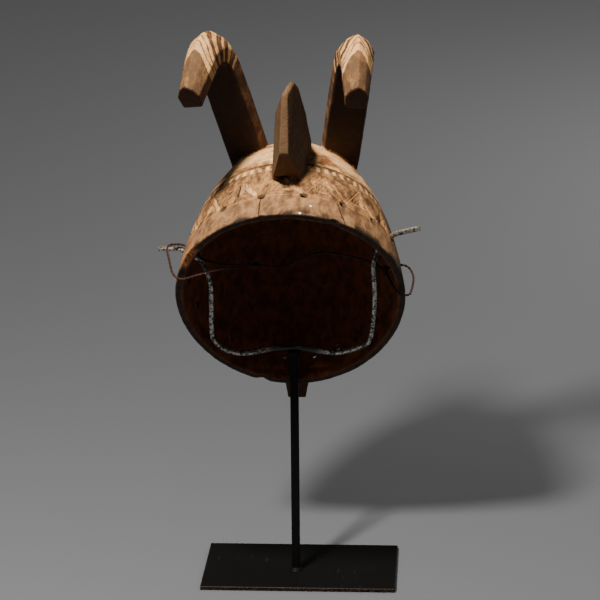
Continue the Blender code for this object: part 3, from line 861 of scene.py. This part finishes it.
    # Painted shade: the rim's cut edge is coloured near-black
    rim = tint(tree, fade(tree, patch, 0.38, 0.62), paint["stainAndShade"], paint["rim"])
    skin = tint(tree, reading(tree, "rim"), skin, rim)
    hollow = tint(tree, fade(tree, patch, 0.36, 0.66), paint["hollowDark"], paint["hollowPale"])
    skin = tint(tree, reading(tree, "hollow"), skin, hollow)
    freshWood = times(tree, reading(tree, "chip"), fade(tree, fine, 0.38, 0.55))
    skin = tint(tree, freshWood, skin, paint["fresh"])
    skin = tint(tree, times(tree, fade(tree, fine, 0.60, 0.80), 0.55), skin, paint["stainAndShade"])
    tree.links.new(skin, shader.inputs["Base Color"])

    rough = put(tree, "ShaderNodeMapRange", {0: patch, 1: 0.3, 2: 0.7, 3: 0.62, 4: 0.88}).outputs[0]
    tree.links.new(rough, shader.inputs["Roughness"])
    shader.inputs["Specular IOR Level"].default_value = 0.30
    height = plus(tree, times(tree, grain, 0.6), times(tree, fine, 0.4))
    # The carved lines are on the outside only
    carving = most(tree, most(tree, darkLine, holeLine), most(tree, legLine, innerLine))
    carving = plus(tree, times(tree, carving, 0.8), times(tree, cracks, 1.2))
    plain = reading(tree, "hollow")
    for part in ("horn", "crest", "muzzle", "rim"):
        plain = most(tree, plain, reading(tree, part))
    carving = times(tree, carving, minus(tree, 1.0, plain))
    height = minus(tree, height, carving)
    relief(tree, shader, height, 0.0010, 0.9)
    return finish


carved = carveMask()
wearFinish(carved, makeWoodFinish())
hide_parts("mask")
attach(carved, "root")
print("wood ready")

wireLook = {
    "bright": colour(0.50, 0.49, 0.45),
    "worn": colour(0.020, 0.018, 0.016),
    "fleck": 0.0019,
    # how far from its middle the post's paint begins to thin out, and where it ends
    "painted": (0.019, 0.034),
}


def makeWireFinish():
    finish, tree, shader = newFinish("wornWire")
    place = put(tree, "ShaderNodeTexCoord").outputs["Object"]
    fleck = speckle(tree, place, wireLook["fleck"], 4.0, 0.6)
    dull = speckle(tree, place, 0.012, 3.0)
    worn = fade(tree, plus(tree, fleck, times(tree, dull, 0.25)), 0.61, 0.66)
    # The paint from the post runs a little way out along the wire on each side
    across = put(tree, "ShaderNodeSeparateXYZ", {0: place}).outputs[0]
    away = calc(tree, "ABSOLUTE", plus(tree, across, 0.003))
    bare = fade(tree, plus(tree, away, times(tree, fleck, 0.012)), *wireLook["painted"])
    dark = most(tree, worn, minus(tree, 1.0, bare))
    base = tint(tree, dark, wireLook["bright"], wireLook["worn"])
    tree.links.new(base, shader.inputs["Base Color"])
    tree.links.new(minus(tree, 0.95, times(tree, dark, 0.9)), shader.inputs["Metallic"])
    rough = put(tree, "ShaderNodeMapRange", {0: fleck, 1: 0.3, 2: 0.7, 3: 0.24, 4: 0.5}).outputs[0]
    tree.links.new(rough, shader.inputs["Roughness"])
    relief(tree, shader, fleck, 0.0002, 0.5)
    return finish


wearFinish(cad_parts["cradle_wire"], makeWireFinish())
print("wire ready")

standLook = {
    "paint": colour(0.0045, 0.0045, 0.005),
    "scuff": colour(0.022, 0.019, 0.017),
    "worn": colour(0.055, 0.034, 0.022),
    # half sizes of the plate at which the rubbed edge begins and is full
    "sideEdge": (0.0716, 0.0724),
    "frontEdge": (0.0441, 0.0449),
}


def makeStandFinish():
    finish, tree, shader = newFinish("blackStandPaint")
    place = put(tree, "ShaderNodeTexCoord").outputs["Object"]
    broad = speckle(tree, place, 0.03, 4.0)
    fine = speckle(tree, place, 0.0014, 5.0, 0.6)
    scratch = speckle(tree, stretch(tree, place, 1.0, 0.12, 1.0), 0.0035, 4.0)
    scuffs = times(tree, fade(tree, scratch, 0.62, 0.74), fade(tree, broad, 0.42, 0.62))
    # The paint is rubbed through along the plate's outer edges
    axes = put(tree, "ShaderNodeSeparateXYZ", {0: place}).outputs
    sideEdge = fade(tree, calc(tree, "ABSOLUTE", axes[0]), *standLook["sideEdge"])
    frontEdge = fade(tree, calc(tree, "ABSOLUTE", axes[1]), *standLook["frontEdge"])
    worn = times(tree, most(tree, sideEdge, frontEdge), fade(tree, fine, 0.46, 0.62))
    base = tint(tree, scuffs, standLook["paint"], standLook["scuff"])
    tree.links.new(tint(tree, worn, base, standLook["worn"]), shader.inputs["Base Color"])
    rough = put(tree, "ShaderNodeMapRange", {0: broad, 1: 0.3, 2: 0.7, 3: 0.42, 4: 0.60}).outputs[0]
    tree.links.new(rough, shader.inputs["Roughness"])
    shader.inputs["Specular IOR Level"].default_value = 0.12
    relief(tree, shader, fine, 0.00025, 0.5)
    return finish


standFinish = makeStandFinish()
for node in ("base_plate", "post"):
    wearFinish(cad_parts[node], standFinish)
print("stand ready")

studio = {
    "floor": colour(0.30, 0.30, 0.305),
    "floorHalf": 8.0,
    # each lamp: the way it stands from its aim, how far, its width, power and aim
    "key": ((-0.24, -0.50, 1.00), 1.20, 0.20, 34.0, (0.0, 0.0, 0.27)),
    "keyTint": (1.0, 0.86, 0.70),
    "side": ((-0.35, -0.80, 0.78), 1.17, 0.16, 15.0, (0.0, 0.0, 0.27)),
    "backdrop": ((0.25, -0.60, 0.75), 1.3, 0.9, 12.0, (0.95, 1.90, 0.0)),
    "even": 0.40,
    "evenSpread": 120.0,     # degrees, so it throws no clear shadow
    "world": 0.060,
}


def makeFloor():
    # One flat pale floor, wide enough to fill the picture from every side
    mesh = bpy.data.meshes.new("studioFloor")
    bm = bmesh.new()
    half = studio["floorHalf"]
    corners = ((-half, -half), (half, -half), (half, half), (-half, half))
    bm.faces.new([bm.verts.new((x, y, 0.0)) for x, y in corners])
    bm.to_mesh(mesh)
    bm.free()
    floor = addObject("studioFloor", mesh)
    finish, tree, shader = newFinish("paleFloor")
    shader.inputs["Base Color"].default_value = studio["floor"]
    shader.inputs["Roughness"].default_value = 0.85
    wearFinish(floor, finish)
    return floor


def makeLamp(name, setup):
    way, away, size, power, aim = setup
    lamp = bpy.data.lights.new(name, "AREA")
    lamp.shape = "DISK"
    lamp.size = size
    lamp.energy = power
    holder = addObject(name, lamp)
    way = Vector(way).normalized()
    holder.location = Vector(aim) + way * away
    holder.rotation_euler = way.to_track_quat("Z", "Y").to_euler()
    return holder


def lightOnly(lamp, name, pieces):
    # The lamp lights these pieces alone
    group = bpy.data.collections.new(name)
    for piece in pieces:
        group.objects.link(piece)
    lamp.light_linking.receiver_collection = group


floor = makeFloor()
objects = [piece for piece in bpy.data.objects if piece.type == "MESH" and piece is not floor]
keyLamp = makeLamp("keyLamp", studio["key"])
keyLamp.data.color = studio["keyTint"]
lightOnly(keyLamp, "litByKey", objects)
sideLamp = makeLamp("sideLamp", studio["side"])
lightOnly(sideLamp, "litBySide", [floor])
makeLamp("backdropLamp", studio["backdrop"])
# An even light on the floor alone, so it doesn't darken into the distance
even = bpy.data.lights.new("evenLamp", "SUN")
even.energy = studio["even"]
even.angle = math.radians(studio["evenSpread"])
lightOnly(addObject("evenLamp", even), "litByEven", [floor])
world =bpy.data.worlds.new("softRoom")
world.use_nodes = True
world.node_tree.nodes["Background"].inputs["Color"].default_value = (1.0, 1.0, 1.0, 1.0)
world.node_tree.nodes["Background"].inputs["Strength"].default_value = studio["world"]
bpy.context.scene.world = world
print("studio ready")
